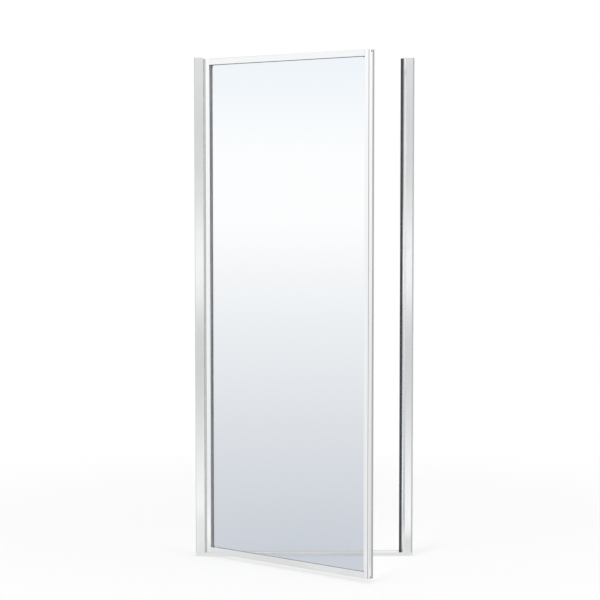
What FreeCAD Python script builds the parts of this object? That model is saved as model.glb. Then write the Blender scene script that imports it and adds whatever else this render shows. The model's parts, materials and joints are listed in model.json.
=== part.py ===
import FreeCAD, Part
import os
import re
import Sketcher

doc = FreeCAD.newDocument("hinged_shower_door")
sizes = doc.addObject("Spreadsheet::Sheet", "Sizes")

# Lengths are in millimetres and angles in degrees. The door is drawn closed about its hinge pin and
# turned open by rest_opening. +X runs from the hinge side to the strike side, +Y into the shower.
driving = [
    # Frame as a whole
    ("frame_width", 711),
    ("frame_height", 1626),
    ("frame_depth", 38),
    ("corner_radius", 0.8),
    ("cut_overrun", 1),
    # Sill
    ("sill_height", 11.5),
    ("sill_wall", 1.6),
    ("sill_groove_width", 1.2),
    ("sill_groove_depth", 0.6),
    ("sill_groove_pitch", 4),
    # Wall channels
    ("channel_wall", 1.6),
    ("channel_leg", 20),
    ("nest_clearance", 0.3),
    ("wall_hole_radius", 2.75),
    ("wall_hole_inset", 150),
    # Jambs that slide over the wall channels
    ("jamb_wall", 1.5),
    ("hinge_reveal", 1.5),
    ("hinge_jamb_width", 28),
    ("strike_reveal", 5),
    ("strike_jamb_width", 30),
    ("nose_radius", 12),
    ("stop_reach", 8),
    ("stop_thickness", 4),
    # Screws that fix each jamb to its channel
    ("jamb_screw_offset", 11.5),
    ("jamb_screw_inset", 200),
    ("jamb_screw_radius", 2),
    ("jamb_screw_length", 9),
    ("jamb_screw_head_radius", 4),
    ("jamb_screw_head_height", 2.4),
    ("screw_clearance", 0.15),
    ("thread_clearance", 0.02),
    ("recess_radius", 1.4),
    ("recess_depth", 1.2),
    # Continuous hinge
    ("hinge_gap", 8.5),
    ("pin_setback", 2),
    ("pin_radius", 1.6),
    ("pin_clearance", 0.03),
    ("pin_overhang", 0.6),
    ("barrel_radius", 3.9),
    ("leaf_thickness", 1.2),
    ("leaf_width", 17),
    ("knuckle_gap", 0.3),
    ("knuckle_clearance", 0.35),
    ("rivet_inset", 60),
    ("rivet_line", 10),
    ("rivet_radius", 1.6),
    ("rivet_head_radius", 3.2),
    ("rivet_head_height", 1.2),
    ("rivet_crown_radius", 1.8),
    ("rivet_tail_radius", 2.4),
    ("rivet_tail_height", 1.8),
    # Door frame members
    ("rest_opening", 36),
    ("door_thickness", 20),
    ("strike_gap", 3),
    ("door_lift", 2),
    ("door_drop", 4.5),
    ("hinge_stile_face", 16),
    ("strike_stile_face", 20),
    ("rail_height", 19.5),
    ("member_wall", 1.5),
    ("member_web", 1.2),
    ("slot_width", 8),
    ("slot_depth", 9),
    # Pull lip along the closing edge
    ("lip_width", 3),
    ("lip_projection", 1.5),
    ("lip_groove_width", 2.25),
    ("lip_groove_depth", 3),
    # Magnetic closing strips
    ("rebate_width", 8),
    ("rebate_depth", 7),
    ("door_magnet_proud", 3.8),
    ("magnet_gap", 0.5),
    ("strike_magnet_thickness", 4.2),
    ("strike_magnet_margin", 0.4),
    ("vinyl_wall", 1),
    ("core_thickness", 2.2),
    ("tail_width", 2.3),
    ("tail_length", 2.8),
    ("tail_clearance", 0.05),
    ("barb_width", 3.4),
    ("barb_length", 1),
    # Glass and its gasket
    ("glass_thickness", 5),
    ("glass_cover", 7),
    ("gasket_base", 1.2),
    ("gasket_fit", 0.05),
    ("gasket_lip", 3),
    ("gasket_radius", 5),
    # Screws through the stiles into the rails
    ("corner_screw_offset", 1.8),
    ("corner_screw_radius", 2),
    ("corner_screw_reach", 20),
    ("corner_screw_head_radius", 3),
    ("corner_screw_head_height", 2.2),
    ("corner_recess_radius", 1.3),
    ("access_radius", 3.4),
    ("port_overlap", 0.3),
    # Drip rail and sweep
    ("drip_wall", 1.2),
    ("drip_inset", 3.75),
    ("drip_top", 17),
    ("drip_foot", 3),
    ("drip_reach", 10.3),
    ("drip_root_height", 10.5),
    ("drip_edge_height", 5),
    ("holder_gap", 2.2),
    ("holder_depth", 4.4),
    ("sweep_clearance", 0.4),
    ("sweep_fit", 0.05),
    ("fin_top_width", 1.8),
    ("fin_tip_width", 0.8),
    ("fin_step", 0.8),
    ("drip_stile_margin", 11.25),
    ("drip_screw_height", 14),
    ("drip_screw_inset", 60),
    ("drip_screw_radius", 1.5),
    ("drip_screw_length", 4.2),
    ("drip_screw_head_radius", 2.8),
    ("drip_screw_head_height", 1.7),
]

# How many of each repeated feature there are.
wall_hole_count = 3
jamb_screw_count = 3
sill_groove_count = 3
knuckle_pairs = 20
rivet_count = 8
drip_screw_count = 4

for row, (alias, number) in enumerate(driving, start=1):
    sizes.set(f"A{row}", alias)
    sizes.set(f"B{row}", str(number))
    sizes.setAlias(f"B{row}", alias)
doc.recompute()

# Places that follow from the driving sizes. Those of the door are measured from the hinge pin.
derived = {
    "half_width": "frame_width / 2",
    "half_depth": "frame_depth / 2",
    "upright_length": "frame_height - sill_height",
    "channel_face": "half_depth - jamb_wall - nest_clearance",
    "hinge_web": "hinge_reveal + hinge_jamb_width - half_width",
    "strike_web": "half_width - strike_reveal - strike_jamb_width",
    "axis_x": "hinge_web + hinge_gap / 2",
    "axis_y": "pin_setback - half_depth",
    "stop_front": "door_thickness + door_magnet_proud + magnet_gap + strike_magnet_thickness - half_depth",
    "stop_end": "strike_web - stop_reach",
    "stop_middle": "strike_web - stop_reach / 2",
    "door_left": "hinge_gap / 2",
    "door_right": "strike_web - strike_gap - axis_x",
    "door_face": "-pin_setback",
    "door_back": "door_thickness - pin_setback",
    "glass_middle": "door_thickness / 2 - pin_setback",
    "door_foot": "sill_height + door_lift",
    "door_head": "frame_height - door_drop",
    "door_height": "door_head - door_foot",
    "rail_left": "door_left + hinge_stile_face",
    "rail_right": "door_right - strike_stile_face",
    "glass_left": "rail_left - glass_cover",
    "glass_right": "rail_right + glass_cover",
    "glass_foot": "door_foot + rail_height - glass_cover",
    "glass_head": "door_head - rail_height + glass_cover",
    "knuckle_length": f"door_height / {2 * knuckle_pairs}",
    "rivet_span": "door_height - 2 * rivet_inset",
    "chamber_height": "rail_height - slot_depth - member_web - member_wall",
    "port_height": "member_wall + chamber_height / 2",
    "corner_screw_line": "glass_middle - corner_screw_offset",
    "rebate_floor": "door_back - rebate_depth",
    "rebate_left": "door_right - rebate_width",
    "rebate_middle": "door_right - rebate_width / 2",
    "door_magnet_face": "door_back + door_magnet_proud",
    "drip_left": "door_left + drip_inset",
    "drip_right": "door_right - drip_stile_margin",
}


def bound(text):
    # A formula in plain words becomes an expression that reads the sheet.
    def swap(match):
        word = match.group(0)
        if word in derived:
            return "(" + bound(derived[word]) + ")"
        return "Sizes." + word

    return re.sub(r"[A-Za-z_]+", swap, text)


def value(text):
    return float(sizes.evalExpression(bound(text)))


def new_body(label):
    body = doc.addObject("PartDesign::Body", label)
    body.Label = label
    body.AllowCompound = True
    return body


def origin_feature(body, role):
    return next(item for item in body.Origin.OriginFeatures if item.Role == role)


def new_sketch(body, role, offset, lift="0"):
    sketch = body.newObject("Sketcher::SketchObject", body.Label + "_sketch")
    sketch.AttachmentSupport = (origin_feature(body, role), [""])
    sketch.MapMode = "FlatFace"
    sketch.setExpression("AttachmentOffset.Base.z", bound(offset))
    sketch.setExpression("AttachmentOffset.Base.y", bound(lift))
    return sketch


def hold_point(sketch, line, end, place):
    # Ties one point of the sketch to a pair of formulas.
    for kind, text in zip(("DistanceX", "DistanceY"), place):
        number = sketch.addConstraint(Sketcher.Constraint(kind, line, end, value(text)))
        sketch.setExpression(f"Constraints[{number}]", bound(text))


def add_outline(sketch, points):
    # A closed run of straight lines through points given as pairs of formulas.
    first = sketch.GeometryCount
    places = [FreeCAD.Vector(value(u), value(v), 0) for u, v in points]
    count = len(points)
    for index in range(count):
        line = Part.LineSegment(places[index], places[(index + 1) % count])
        sketch.addGeometry(line, False)
    for index in range(count):
        following = first + (index + 1) % count
        sketch.addConstraint(Sketcher.Constraint("Coincident", first + index, 2, following, 1))
        hold_point(sketch, first + index, 1, points[index])


def add_rectangle(sketch, low, high):
    add_outline(sketch, [low, (high[0], low[1]), high, (low[0], high[1])])


def add_circle(sketch, centre, radius):
    middle = FreeCAD.Vector(value(centre[0]), value(centre[1]), 0)
    circle = Part.Circle(middle, FreeCAD.Vector(0, 0, 1), value(radius))
    number = sketch.addGeometry(circle, False)
    hold_point(sketch, number, 3, centre)
    size = sketch.addConstraint(Sketcher.Constraint("Radius", number, value(radius)))
    sketch.setExpression(f"Constraints[{size}]", bound(radius))


def add_pad(body, sketch, length):
    pad = body.newObject("PartDesign::Pad", body.Label + "_pad")
    pad.Profile = sketch
    pad.setExpression("Length", bound(length))
    body.Tip = pad
    doc.recompute()
    return pad


def add_pocket(body, sketch, length):
    # A pocket runs against its sketch's normal, and has to take something away.
    before = body.Shape.Volume
    pocket = body.newObject("PartDesign::Pocket", body.Label + "_pocket")
    pocket.Profile = sketch
    pocket.Type = "Length"
    pocket.setExpression("Length", bound(length))
    body.Tip = pocket
    doc.recompute()
    if body.Shape.Volume >= before:
        raise ValueError(f"{pocket.Label} cuts nothing")
    return pocket


def add_pattern(body, feature, axis, length, count):
    pattern = body.newObject("PartDesign::LinearPattern", body.Label + "_pattern")
    pattern.Originals = [feature]
    pattern.Direction = (origin_feature(body, axis), [""])
    pattern.setExpression("Length", bound(length))
    pattern.Occurrences = count
    body.Tip = pattern
    doc.recompute()
    return pattern


def bore_along_x(body, low, high, centres, radius):
    sketch = new_sketch(body, "YZ_Plane", high)
    for centre in centres:
        add_circle(sketch, centre, radius)
    return add_pocket(body, sketch, f"({high}) - ({low})")


def bore_along_y(body, low, high, centres, radius):
    sketch = new_sketch(body, "XZ_Plane", f"-({low})")
    for centre in centres:
        add_circle(sketch, centre, radius)
    return add_pocket(body, sketch, f"({high}) - ({low})")


def round_edges(body, radius, direction, corners):
    # Rounds the long edges of an extrusion that pass through the given corners of its outline.
    feature = body.Tip
    axes = [index for index in range(3) if direction[index] == 0]
    names = []
    for corner in corners:
        target = [value(text) for text in corner]
        for number, edge in enumerate(feature.Shape.Edges, start=1):
            start = edge.Vertexes[0].Point
            finish = edge.Vertexes[-1].Point
            if all(
                abs(point[axis] - place) < feature.Shape.getTolerance(1)
                for point in (start, finish)
                for axis, place in zip(axes, target)
            ):
                names.append(f"Edge{number}")
    fillet = body.newObject("PartDesign::Fillet", body.Label + "_rounding")
    fillet.Base = (feature, names)
    fillet.setExpression("Radius", bound(radius))
    body.Tip = fillet
    doc.recompute()
    return fillet


def extrude_upright(label, outline, foot, length):
    body = new_body(label)
    sketch = new_sketch(body, "XY_Plane", foot)
    add_outline(sketch, outline)
    add_pad(body, sketch, length)
    return body


def revolve_about_x(body, middle, height, outline):
    # The outline's first number runs along X and its second out from the axis.
    sketch = new_sketch(body, "XZ_Plane", f"-({middle})", height)
    return add_revolution(body, sketch, outline)


def revolve_about_y(body, middle, height, outline):
    sketch = new_sketch(body, "YZ_Plane", middle, height)
    return add_revolution(body, sketch, outline)


def add_revolution(body, sketch, outline):
    add_outline(sketch, outline)
    turned = body.newObject("PartDesign::Revolution", body.Label + "_turned")
    turned.Profile = sketch
    turned.ReferenceAxis = (sketch, ["H_Axis"])
    turned.Angle = 360
    body.Tip = turned
    doc.recompute()
    return turned


def hang_on_pin(body):
    # Door pieces are drawn closed about the pin, then turned open about it.
    place = f"vector({bound('axis_x')}; {bound('axis_y')}; 0)"
    turn = f"rotation(vector(0; 0; 1); -{bound('rest_opening')})"
    body.setExpression("Placement", f"placement({place}; {turn})")
    return body


def set_on_pin(body):
    # The jamb's half of the hinge is drawn about the pin as well, and stays put.
    body.setExpression("Placement.Base.x", bound("axis_x"))
    body.setExpression("Placement.Base.y", bound("axis_y"))
    return body


def spread(first, span, count):
    # Evenly spaced formulas from first to first + span.
    return [f"{first} + ({span}) * {index} / {count - 1}" for index in range(count)]


def build_sill():
    body = new_body("sill")
    sketch = new_sketch(body, "YZ_Plane", "-half_width")
    add_rectangle(sketch, ("-half_depth", "0"), ("half_depth", "sill_height"))
    add_rectangle(
        sketch,
        ("sill_wall - half_depth", "sill_wall"),
        ("-sill_wall / 2", "sill_height - sill_wall"),
    )
    add_rectangle(
        sketch,
        ("sill_wall / 2", "sill_wall"),
        ("half_depth - sill_wall", "sill_height - sill_wall"),
    )
    add_pad(body, sketch, "frame_width")
    edges = [("-half_depth", "sill_height"), ("half_depth", "sill_height")]
    round_edges(body, "corner_radius", (1, 0, 0), edges)
    sketch = new_sketch(body, "YZ_Plane", "half_width")
    for index in range(sill_groove_count):
        start = f"sill_groove_pitch * {index}"
        low = (start, "sill_height - sill_groove_depth")
        high = (f"{start} + sill_groove_width", "sill_height + cut_overrun")
        add_rectangle(sketch, low, high)
    add_pocket(body, sketch, "frame_width")
    return body


def build_wall_channel(label, side):
    # A channel open towards the doorway, with its web flat on the wall. side is -1 or 1.
    wall = f"{side} * half_width"
    web = f"{side} * (half_width - channel_wall)"
    toe = f"{side} * (half_width - channel_leg)"
    outline = [
        (wall, "-channel_face"),
        (toe, "-channel_face"),
        (toe, "channel_wall - channel_face"),
        (web, "channel_wall - channel_face"),
        (web, "channel_face - channel_wall"),
        (toe, "channel_face - channel_wall"),
        (toe, "channel_face"),
        (wall, "channel_face"),
    ]
    body = extrude_upright(label, outline, "sill_height", "upright_length")
    span = "upright_length - 2 * wall_hole_inset"
    heights = spread("sill_height + wall_hole_inset", span, wall_hole_count)
    near = min((wall, web), key=value)
    far = max((wall, web), key=value)
    bore_along_x(
        body,
        f"{near} - cut_overrun",
        f"{far} + cut_overrun",
        [("0", height) for height in heights],
        "wall_hole_radius",
    )
    bore_along_y(
        body,
        "0",
        "half_depth",
        [(jamb_screw_place(side), height) for height in jamb_screw_heights()],
        "jamb_screw_radius + thread_clearance",
    )
    return body


def jamb_screw_place(side):
    return f"{side} * (half_width - jamb_screw_offset)"


def jamb_screw_heights():
    span = "upright_length - 2 * jamb_screw_inset"
    return spread("sill_height + jamb_screw_inset", span, jamb_screw_count)


def bore_jamb_screws(body, side):
    bore_along_y(
        body,
        "0",
        "frame_depth",
        [(jamb_screw_place(side), height) for height in jamb_screw_heights()],
        "jamb_screw_radius + screw_clearance",
    )


def build_hinge_jamb():
    back = "hinge_reveal - half_width"
    outline = [
        (back, "-half_depth"),
        ("hinge_web", "-half_depth"),
        ("hinge_web", "half_depth"),
        (back, "half_depth"),
        (back, "half_depth - jamb_wall"),
        ("hinge_web - jamb_wall", "half_depth - jamb_wall"),
        ("hinge_web - jamb_wall", "jamb_wall - half_depth"),
        (back, "jamb_wall - half_depth"),
    ]
    body = extrude_upright("hinge_jamb", outline, "sill_height", "upright_length")
    corners = [("hinge_web", "-half_depth"), ("hinge_web", "half_depth")]
    round_edges(body, "corner_radius", (0, 0, 1), corners)
    bore_jamb_screws(body, -1)
    places = [("axis_y + rivet_line", height) for height in rivet_heights()]
    low = "hinge_web - jamb_wall - cut_overrun"
    bore_along_x(body, low, "hinge_web + cut_overrun", places, "rivet_radius + thread_clearance")
    return body


def build_strike_jamb():
    # The nose turns back to a stop flange that carries the magnetic strip behind the closed door.
    back = "half_width - strike_reveal"
    flange_back = "stop_front + stop_thickness"
    groove = "tail_width / 2 + tail_clearance"
    groove_floor = "stop_front + tail_length + tail_clearance"
    outline = [
        (back, "-half_depth"),
        ("strike_web", "-half_depth"),
        ("strike_web", "stop_front"),
        (f"stop_middle + {groove}", "stop_front"),
        (f"stop_middle + {groove}", groove_floor),
        (f"stop_middle - ({groove})", groove_floor),
        (f"stop_middle - ({groove})", "stop_front"),
        ("stop_end", "stop_front"),
        ("stop_end", flange_back),
        ("strike_web", flange_back),
        ("strike_web", "half_depth"),
        (back, "half_depth"),
        (back, "half_depth - jamb_wall"),
        ("strike_web + jamb_wall", "half_depth - jamb_wall"),
        ("strike_web + jamb_wall", "jamb_wall - half_depth"),
        (back, "jamb_wall - half_depth"),
    ]
    body = extrude_upright("strike_jamb", outline, "sill_height", "upright_length")
    round_edges(body, "nose_radius", (0, 0, 1), [("strike_web", "-half_depth")])
    inner = [("strike_web + jamb_wall", "jamb_wall - half_depth")]
    round_edges(body, "nose_radius - jamb_wall", (0, 0, 1), inner)
    soft = [("stop_end", "stop_front"), ("stop_end", flange_back), ("strike_web", "half_depth")]
    round_edges(body, "corner_radius", (0, 0, 1), soft)
    bore_jamb_screws(body, 1)
    return body


def build_jamb_screws(label, side):
    body = new_body(label)
    head = "half_depth + jamb_screw_head_height"
    crown = "jamb_screw_head_radius - jamb_screw_head_height / 3"
    outline = [
        ("half_depth - jamb_screw_length", "0"),
        (f"{head} - recess_depth", "0"),
        (f"{head} - recess_depth", "recess_radius"),
        (head, "recess_radius"),
        (head, crown),
        (f"{head} - jamb_screw_head_height / 3", "jamb_screw_head_radius"),
        ("half_depth", "jamb_screw_head_radius"),
        ("half_depth", "jamb_screw_radius"),
        ("half_depth - jamb_screw_length + jamb_screw_radius", "jamb_screw_radius"),
    ]
    turned = revolve_about_y(body, jamb_screw_place(side), "sill_height + jamb_screw_inset", outline)
    add_pattern(body, turned, "Z_Axis", "upright_length - 2 * jamb_screw_inset", jamb_screw_count)
    return body


def rivet_heights():
    return spread("door_foot + rivet_inset", "rivet_span", rivet_count)


def build_leaf(label, side, first_notch):
    # side is -1 for the leaf on the jamb and 1 for the leaf on the door.
    body = new_body(label)
    outer = f"{side} * hinge_gap / 2"
    inner = f"{side} * (hinge_gap / 2 - leaf_thickness)"
    sketch = new_sketch(body, "XY_Plane", "door_foot")
    add_rectangle(sketch, (outer, "0"), (inner, "leaf_width"))
    add_pad(body, sketch, "door_height")
    sketch = new_sketch(body, "XY_Plane", "door_foot")
    add_circle(sketch, ("0", "0"), "barrel_radius")
    add_pad(body, sketch, "door_height")
    sketch = new_sketch(body, "XY_Plane", "door_head")
    add_circle(sketch, ("0", "0"), "pin_radius + pin_clearance")
    add_pocket(body, sketch, "door_height")
    # The notch for one knuckle of the other leaf, repeated at every second knuckle.
    notch_top = f"door_foot + {first_notch + 1} * knuckle_length + knuckle_gap / 2"
    sketch = new_sketch(body, "XY_Plane", notch_top)
    reach = "barrel_radius + knuckle_clearance"
    notch_low = (f"-({reach}) - cut_overrun", f"-({reach})")
    notch_high = (f"{reach} + cut_overrun", reach)
    add_rectangle(sketch, notch_low, notch_high)
    notch = add_pocket(body, sketch, "knuckle_length + knuckle_gap")
    add_pattern(body, notch, "Z_Axis", f"{2 * (knuckle_pairs - 1)} * knuckle_length", knuckle_pairs)
    low = min((outer, inner), key=value)
    high = max((outer, inner), key=value)
    places = [("rivet_line", height) for height in rivet_heights()]
    bore_along_x(
        body,
        f"{low} - cut_overrun",
        f"{high} + cut_overrun",
        places,
        "rivet_radius + thread_clearance",
    )
    return body


def build_hinge_pin():
    body = new_body("hinge_pin")
    sketch = new_sketch(body, "XY_Plane", "door_foot - pin_overhang")
    add_circle(sketch, ("0", "0"), "pin_radius")
    pad = add_pad(body, sketch, "door_height + 2 * pin_overhang")
    chamfer = body.newObject("PartDesign::Chamfer", "hinge_pin_ends")
    rims = [
        f"Edge{number}"
        for number, edge in enumerate(pad.Shape.Edges, start=1)
        if edge.Closed
    ]
    chamfer.Base = (pad, rims)
    chamfer.setExpression("Size", bound("pin_overhang / 2"))
    body.Tip = chamfer
    doc.recompute()
    return body


def build_rivets(label, side, wall):
    # A domed head on the leaf, and an upset tail behind the wall that the leaf lies on.
    body = new_body(label)
    seat = "hinge_gap / 2 - leaf_thickness"
    tail = f"hinge_gap / 2 + {wall}"
    outline = [
        (f"{seat} - rivet_head_height", "0"),
        (f"{seat} - rivet_head_height", "rivet_crown_radius"),
        (f"{seat} - rivet_head_height / 3", "rivet_head_radius"),
        (seat, "rivet_head_radius"),
        (seat, "rivet_radius"),
        (tail, "rivet_radius"),
        (tail, "rivet_tail_radius"),
        (f"{tail} + rivet_tail_height", "rivet_radius"),
        (f"{tail} + rivet_tail_height", "0"),
    ]
    sided = [(f"{side} * ({along})", out) for along, out in outline]
    turned = revolve_about_x(body, "rivet_line", "door_foot + rivet_inset", sided)
    add_pattern(body, turned, "Z_Axis", "rivet_span", rivet_count)
    return body


def member_rectangles(outer, inner, sign):
    # The hollow places of a door frame member, each as two corners (across, through).
    # sign is 1 where the glass lies on the high side of outer, -1 on the low side.
    def across(text):
        return f"{inner} - ({sign}) * ({text})"

    chamber_start = f"{outer} + ({sign}) * member_wall"
    chamber_finish = across("slot_depth + member_web")
    chamber = (
        (chamber_start, "door_face + member_wall"),
        (chamber_finish, "door_back - member_wall"),
    )
    front = (
        (across("slot_depth"), "door_face + member_wall"),
        (across("member_wall"), "glass_middle - slot_width / 2 - member_web"),
    )
    rear = (
        (across("slot_depth"), "glass_middle + slot_width / 2 + member_web"),
        (across("member_wall"), "door_back - member_wall"),
    )
    return chamber, front, rear


def slotted_outline(outer, inner, sign):
    # The outside of a member with its open glass slot.
    slot_floor = f"{inner} - ({sign}) * slot_depth"
    return [
        (outer, "door_face"),
        (inner, "door_face"),
        (inner, "glass_middle - slot_width / 2"),
        (slot_floor, "glass_middle - slot_width / 2"),
        (slot_floor, "glass_middle + slot_width / 2"),
        (inner, "glass_middle + slot_width / 2"),
        (inner, "door_back"),
        (outer, "door_back"),
    ]


def flipped(pairs):
    return [(second, first) for first, second in pairs]


def build_hinge_stile():
    body = new_body("hinge_stile")
    sketch = new_sketch(body, "XY_Plane", "door_foot")
    add_outline(sketch, slotted_outline("door_left", "rail_left", 1))
    for low, high in member_rectangles("door_left", "rail_left", 1):
        add_rectangle(sketch, low, high)
    add_pad(body, sketch, "door_height")
    corners = [
        ("door_left", "door_face"),
        ("rail_left", "door_face"),
        ("rail_left", "door_back"),
        ("door_left", "door_back"),
    ]
    round_edges(body, "corner_radius", (0, 0, 1), corners)
    wall_inside = "door_left + member_wall"
    places = [("rivet_line", height) for height in rivet_heights()]
    bore_along_x(
        body,
        "door_left - cut_overrun",
        wall_inside,
        places,
        "rivet_radius + thread_clearance",
    )
    bore_along_x(body, "door_left - cut_overrun", wall_inside, corner_screw_places(), "access_radius")
    web = "rail_left - slot_depth - member_web"
    bore_along_x(body, web, "rail_left - slot_depth", corner_screw_places(), corner_screw_bore())
    return hang_on_pin(body)


def corner_screw_bore():
    return "corner_screw_radius + thread_clearance"


def corner_screw_places():
    return [
        ("corner_screw_line", "door_foot + port_height"),
        ("corner_screw_line", "door_head - port_height"),
    ]


def build_strike_stile():
    # The closing edge has a pull lip in front and a rebate for the magnetic strip behind.
    body = new_body("strike_stile")
    groove_right = "door_right - lip_width"
    groove_left = "door_right - lip_width - lip_groove_width"
    groove_floor = "door_face + lip_groove_depth"
    slot_left = "rebate_middle - tail_width / 2 - tail_clearance"
    slot_right = "rebate_middle + tail_width / 2 + tail_clearance"
    chamber_left = "rail_right + slot_depth + member_web"
    chamber_back = "rebate_floor - member_wall"
    sketch = new_sketch(body, "XY_Plane", "door_foot")
    add_outline(sketch, [
        ("rail_right", "door_face"),
        (groove_left, "door_face"),
        (groove_left, groove_floor),
        (groove_right, groove_floor),
        (groove_right, "door_face - lip_projection"),
        ("door_right", "door_face - lip_projection"),
        ("door_right", "rebate_floor"),
        (slot_right, "rebate_floor"),
        (slot_right, chamber_back),
        ("door_right - member_wall", chamber_back),
        ("door_right - member_wall", f"{groove_floor} + member_web"),
        (f"{groove_left} - member_web", f"{groove_floor} + member_web"),
        (f"{groove_left} - member_web", "door_face + member_wall"),
        (chamber_left, "door_face + member_wall"),
        (chamber_left, chamber_back),
        (slot_left, chamber_back),
        (slot_left, "rebate_floor"),
        ("rebate_left", "rebate_floor"),
        ("rebate_left", "door_back"),
        ("rail_right", "door_back"),
        ("rail_right", "glass_middle + slot_width / 2"),
        ("rail_right + slot_depth", "glass_middle + slot_width / 2"),
        ("rail_right + slot_depth", "glass_middle - slot_width / 2"),
        ("rail_right", "glass_middle - slot_width / 2"),
    ])
    for low, high in member_rectangles("door_right", "rail_right", -1)[1:]:
        add_rectangle(sketch, low, high)
    add_pad(body, sketch, "door_height")
    corners = [
        ("rail_right", "door_face"),
        ("rail_right", "door_back"),
        (groove_right, "door_face - lip_projection"),
        ("door_right", "door_face - lip_projection"),
    ]
    round_edges(body, "corner_radius", (0, 0, 1), corners)
    bore_along_x(
        body,
        "door_right - member_wall",
        "door_right + cut_overrun",
        corner_screw_places(),
        "access_radius",
    )
    web = "rail_right + slot_depth"
    bore_along_x(body, web, f"{web} + member_web", corner_screw_places(), corner_screw_bore())
    return hang_on_pin(body)


def build_rail(label, outer, inner, sign):
    body = new_body(label)
    sketch = new_sketch(body, "YZ_Plane", "rail_left")
    add_outline(sketch, flipped(slotted_outline(outer, inner, sign)))
    for low, high in member_rectangles(outer, inner, sign):
        add_rectangle(sketch, low[::-1], high[::-1])
    add_pad(body, sketch, "rail_right - rail_left")
    corners = [
        ("door_face", outer),
        ("door_face", inner),
        ("door_back", inner),
        ("door_back", outer),
    ]
    round_edges(body, "corner_radius", (1, 0, 0), corners)
    # The screw port runs the whole length of the rail, inside its chamber.
    port = ("corner_screw_line", f"{outer} + ({sign}) * port_height")
    sketch = new_sketch(body, "YZ_Plane", "rail_left")
    add_circle(sketch, port, "chamber_height / 2 + port_overlap")
    add_pad(body, sketch, "rail_right - rail_left")
    bore_along_x(body, "rail_left", "rail_right", [port], corner_screw_bore())
    return body


def build_top_rail():
    body = build_rail("top_rail", "door_head", "door_head - rail_height", -1)
    return hang_on_pin(body)


def build_bottom_rail():
    body = build_rail("bottom_rail", "door_foot", "door_foot + rail_height", 1)
    low = "door_back - member_wall"
    bore_along_y(
        body,
        low,
        "door_back + cut_overrun",
        drip_screw_places(),
        "drip_screw_radius + thread_clearance",
    )
    return hang_on_pin(body)


def build_corner_screws():
    # One screw at each corner of the door, its head on the stile's web and its shank in the rail's port.
    body = new_body("corner_screws")
    hinge_seat = "rail_left - slot_depth - member_web"
    strike_seat = "rail_right + slot_depth + member_web"
    for seat, facing, tip in (
        (hinge_seat, 1, "rail_left + corner_screw_reach"),
        (strike_seat, -1, "rail_right - corner_screw_reach"),
    ):
        top = f"{seat} - ({facing}) * corner_screw_head_height"
        floor = f"{seat} - ({facing}) * corner_screw_head_height / 2"
        shoulder = f"{seat} - ({facing}) * corner_screw_head_height * 2 / 3"
        outline = [
            (tip, "0"),
            (f"{tip} - ({facing}) * corner_screw_radius", "corner_screw_radius"),
            (seat, "corner_screw_radius"),
            (seat, "corner_screw_head_radius"),
            (shoulder, "corner_screw_head_radius"),
            (top, "corner_screw_head_radius * 3 / 4"),
            (top, "corner_recess_radius"),
            (floor, "corner_recess_radius"),
            (floor, "0"),
        ]
        turned = revolve_about_x(body, "corner_screw_line", "door_foot + port_height", outline)
        add_pattern(body, turned, "Z_Axis", "door_height - 2 * port_height", 2)
    return hang_on_pin(body)


def build_glass():
    body = new_body("glass_panel")
    sketch = new_sketch(body, "XZ_Plane", "-(glass_middle + glass_thickness / 2)")
    add_rectangle(sketch, ("glass_left", "glass_foot"), ("glass_right", "glass_head"))
    add_pad(body, sketch, "glass_thickness")
    return hang_on_pin(body)


def build_gasket():
    # One length of channel-shaped vinyl that wraps the edge of the glass.
    body = new_body("glazing_gasket")
    sheet_half = "slot_width / 2 - gasket_fit"
    sketch = new_sketch(body, "XZ_Plane", f"-(glass_middle + {sheet_half})")
    add_rectangle(
        sketch,
        ("glass_left - gasket_base", "glass_foot - gasket_base"),
        ("glass_right + gasket_base", "glass_head + gasket_base"),
    )
    window_low = ("rail_left + gasket_lip", "door_foot + rail_height + gasket_lip")
    window_high = ("rail_right - gasket_lip", "door_head - rail_height - gasket_lip")
    add_rectangle(sketch, window_low, window_high)
    add_pad(body, sketch, f"2 * ({sheet_half})")
    window_corners = [
        window_low,
        (window_high[0], window_low[1]),
        window_high,
        (window_low[0], window_high[1]),
    ]
    round_edges(body, "gasket_radius", (0, 1, 0), window_corners)
    sketch = new_sketch(body, "XZ_Plane", "-(glass_middle - glass_thickness / 2)")
    add_rectangle(sketch, ("glass_left", "glass_foot"), ("glass_right", "glass_head"))
    add_pocket(body, sketch, "glass_thickness")
    return hang_on_pin(body)


def build_door_magnet_sleeve():
    body = new_body("door_magnet_sleeve")
    tail_left = "rebate_middle - tail_width / 2"
    tail_right = "rebate_middle + tail_width / 2"
    tail_top = "rebate_floor - member_wall"
    barb_top = f"{tail_top} - barb_length"
    sketch = new_sketch(body, "XY_Plane", "door_foot")
    add_outline(sketch, [
        ("rebate_left", "rebate_floor"),
        (tail_left, "rebate_floor"),
        (tail_left, tail_top),
        ("rebate_middle - barb_width / 2", tail_top),
        (tail_left, barb_top),
        (tail_right, barb_top),
        ("rebate_middle + barb_width / 2", tail_top),
        (tail_right, tail_top),
        (tail_right, "rebate_floor"),
        ("door_right", "rebate_floor"),
        ("door_right", "door_magnet_face"),
        ("rebate_left", "door_magnet_face"),
    ])
    core_low, core_high = door_core_corners()
    add_rectangle(sketch, core_low, core_high)
    # The hollow bulb between the seat and the magnet.
    add_rectangle(
        sketch,
        ("rebate_left + vinyl_wall", "rebate_floor + vinyl_wall"),
        ("door_right - vinyl_wall", f"{core_low[1]} - vinyl_wall"),
    )
    add_pad(body, sketch, "door_height")
    corners = [("rebate_left", "door_magnet_face"), ("door_right", "door_magnet_face")]
    round_edges(body, "corner_radius", (0, 0, 1), corners)
    return hang_on_pin(body)


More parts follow.
